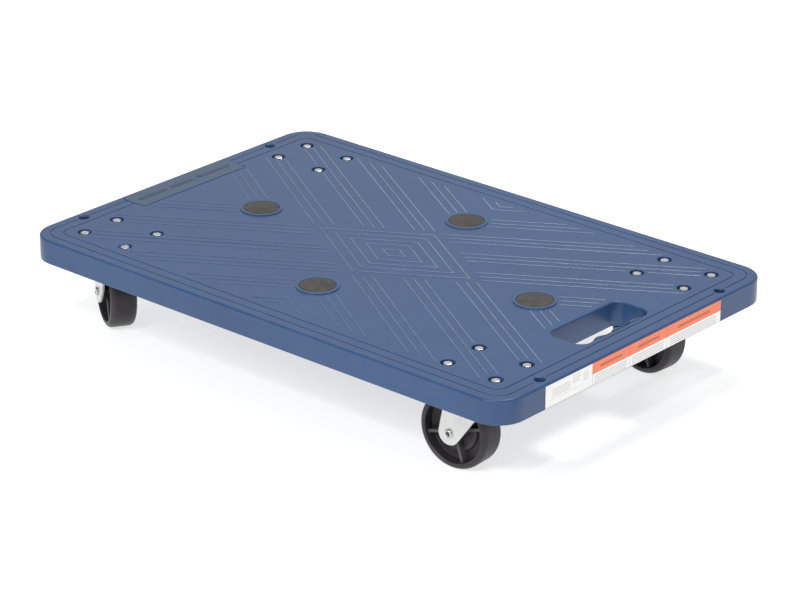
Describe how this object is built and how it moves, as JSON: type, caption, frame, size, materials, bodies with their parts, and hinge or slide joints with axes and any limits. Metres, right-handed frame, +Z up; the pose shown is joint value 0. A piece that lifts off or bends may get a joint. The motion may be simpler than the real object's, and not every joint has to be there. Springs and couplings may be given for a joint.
{
  "type": "platform dolly",
  "caption": "Low rectangular platform dolly with a hand slot, rubber grip pads and swivel casters, for moving boxes and furniture.",
  "frame": {"origin": "on the floor under the centre of the deck", "axes": "+X along the deck towards the hand slot, +Y across the deck, +Z up"},
  "size_m": [0.6102, 0.406, 0.1116],
  "materials": {
    "deck_plastic": "blue moulded polypropylene, satin, fine grain",
    "pad_rubber": "dark grey rubber, matte",
    "label_white": "white vinyl sticker",
    "label_orange": "orange and white vinyl sticker",
    "zinc_steel": "zinc plated pressed steel",
    "bolt_steel": "bright zinc plate",
    "ball_steel": "polished bearing steel",
    "wheel_plastic": "black polyolefin, semi-gloss"
  },
  "bodies": {
    "deck": {"deck": "deck_plastic", "grip_pad_front": "pad_rubber", "grip_pad_rear": "pad_rubber", "grip_pad_left": "pad_rubber", "grip_pad_right": "pad_rubber", "plain_sticker": "label_white", "caution_sticker_1": "label_orange", "caution_sticker_2": "label_orange", "caution_sticker_3": "label_orange", "front_left_mounting_plate": "zinc_steel", "front_left_king_pin": "zinc_steel", "front_left_mount_bolts": "bolt_steel", "front_left_mount_nuts": "bolt_steel", "front_right_mounting_plate": "zinc_steel", "front_right_king_pin": "zinc_steel", "front_right_mount_bolts": "bolt_steel", "front_right_mount_nuts": "bolt_steel", "rear_left_mounting_plate": "zinc_steel", "rear_left_king_pin": "zinc_steel", "rear_left_mount_bolts": "bolt_steel", "rear_left_mount_nuts": "bolt_steel", "rear_right_mounting_plate": "zinc_steel", "rear_right_king_pin": "zinc_steel", "rear_right_mount_bolts": "bolt_steel", "rear_right_mount_nuts": "bolt_steel"},
    "front_left_caster": {"front_left_fork": "zinc_steel", "front_left_swivel_balls": "ball_steel", "front_left_axle_sleeve": "bolt_steel", "front_left_axle_rivet": "bolt_steel"},
    "front_left_roller": {"front_left_wheel": "wheel_plastic"},
    "front_right_caster": {"front_right_fork": "zinc_steel", "front_right_swivel_balls": "ball_steel", "front_right_axle_sleeve": "bolt_steel", "front_right_axle_rivet": "bolt_steel"},
    "front_right_roller": {"front_right_wheel": "wheel_plastic"},
    "rear_left_caster": {"rear_left_fork": "zinc_steel", "rear_left_swivel_balls": "ball_steel", "rear_left_axle_sleeve": "bolt_steel", "rear_left_axle_rivet": "bolt_steel"},
    "rear_left_roller": {"rear_left_wheel": "wheel_plastic"},
    "rear_right_caster": {"rear_right_fork": "zinc_steel", "rear_right_swivel_balls": "ball_steel", "rear_right_axle_sleeve": "bolt_steel", "rear_right_axle_rivet": "bolt_steel"},
    "rear_right_roller": {"rear_right_wheel": "wheel_plastic"}
  },
  "joints": [
    {"name": "front_left_swivel", "type": "hinge", "parent": "deck", "child": "front_left_caster", "pos_m": [0.2362, 0.1406, 0.09], "axis": [0, 0, 1], "continuous": true},
    {"name": "front_left_roll", "type": "hinge", "parent": "front_left_caster", "child": "front_left_roller", "pos_m": [0.20727, 0.14262, 0.0381], "axis": [-0.0698, -0.9976, 0], "continuous": true},
    {"name": "front_right_swivel", "type": "hinge", "parent": "deck", "child": "front_right_caster", "pos_m": [0.2362, -0.1406, 0.09], "axis": [0, 0, 1], "continuous": true},
    {"name": "front_right_roll", "type": "hinge", "parent": "front_right_caster", "child": "front_right_roller", "pos_m": [0.20726, -0.14242, 0.0381], "axis": [0.0628, -0.998, 0], "continuous": true},
    {"name": "rear_left_swivel", "type": "hinge", "parent": "deck", "child": "rear_left_caster", "pos_m": [-0.2362, 0.1406, 0.09], "axis": [0, 0, 1], "continuous": true},
    {"name": "rear_left_roll", "type": "hinge", "parent": "rear_left_caster", "child": "rear_left_roller", "pos_m": [-0.26421, 0.14811, 0.0381], "axis": [-0.2588, -0.9659, 0], "continuous": true},
    {"name": "rear_right_swivel", "type": "hinge", "parent": "deck", "child": "rear_right_caster", "pos_m": [-0.2362, -0.1406, 0.09], "axis": [0, 0, 1], "continuous": true},
    {"name": "rear_right_roll", "type": "hinge", "parent": "rear_right_caster", "child": "rear_right_roller", "pos_m": [-0.26111, -0.12575, 0.0381], "axis": [-0.512, -0.859, 0], "continuous": true}
  ]
}
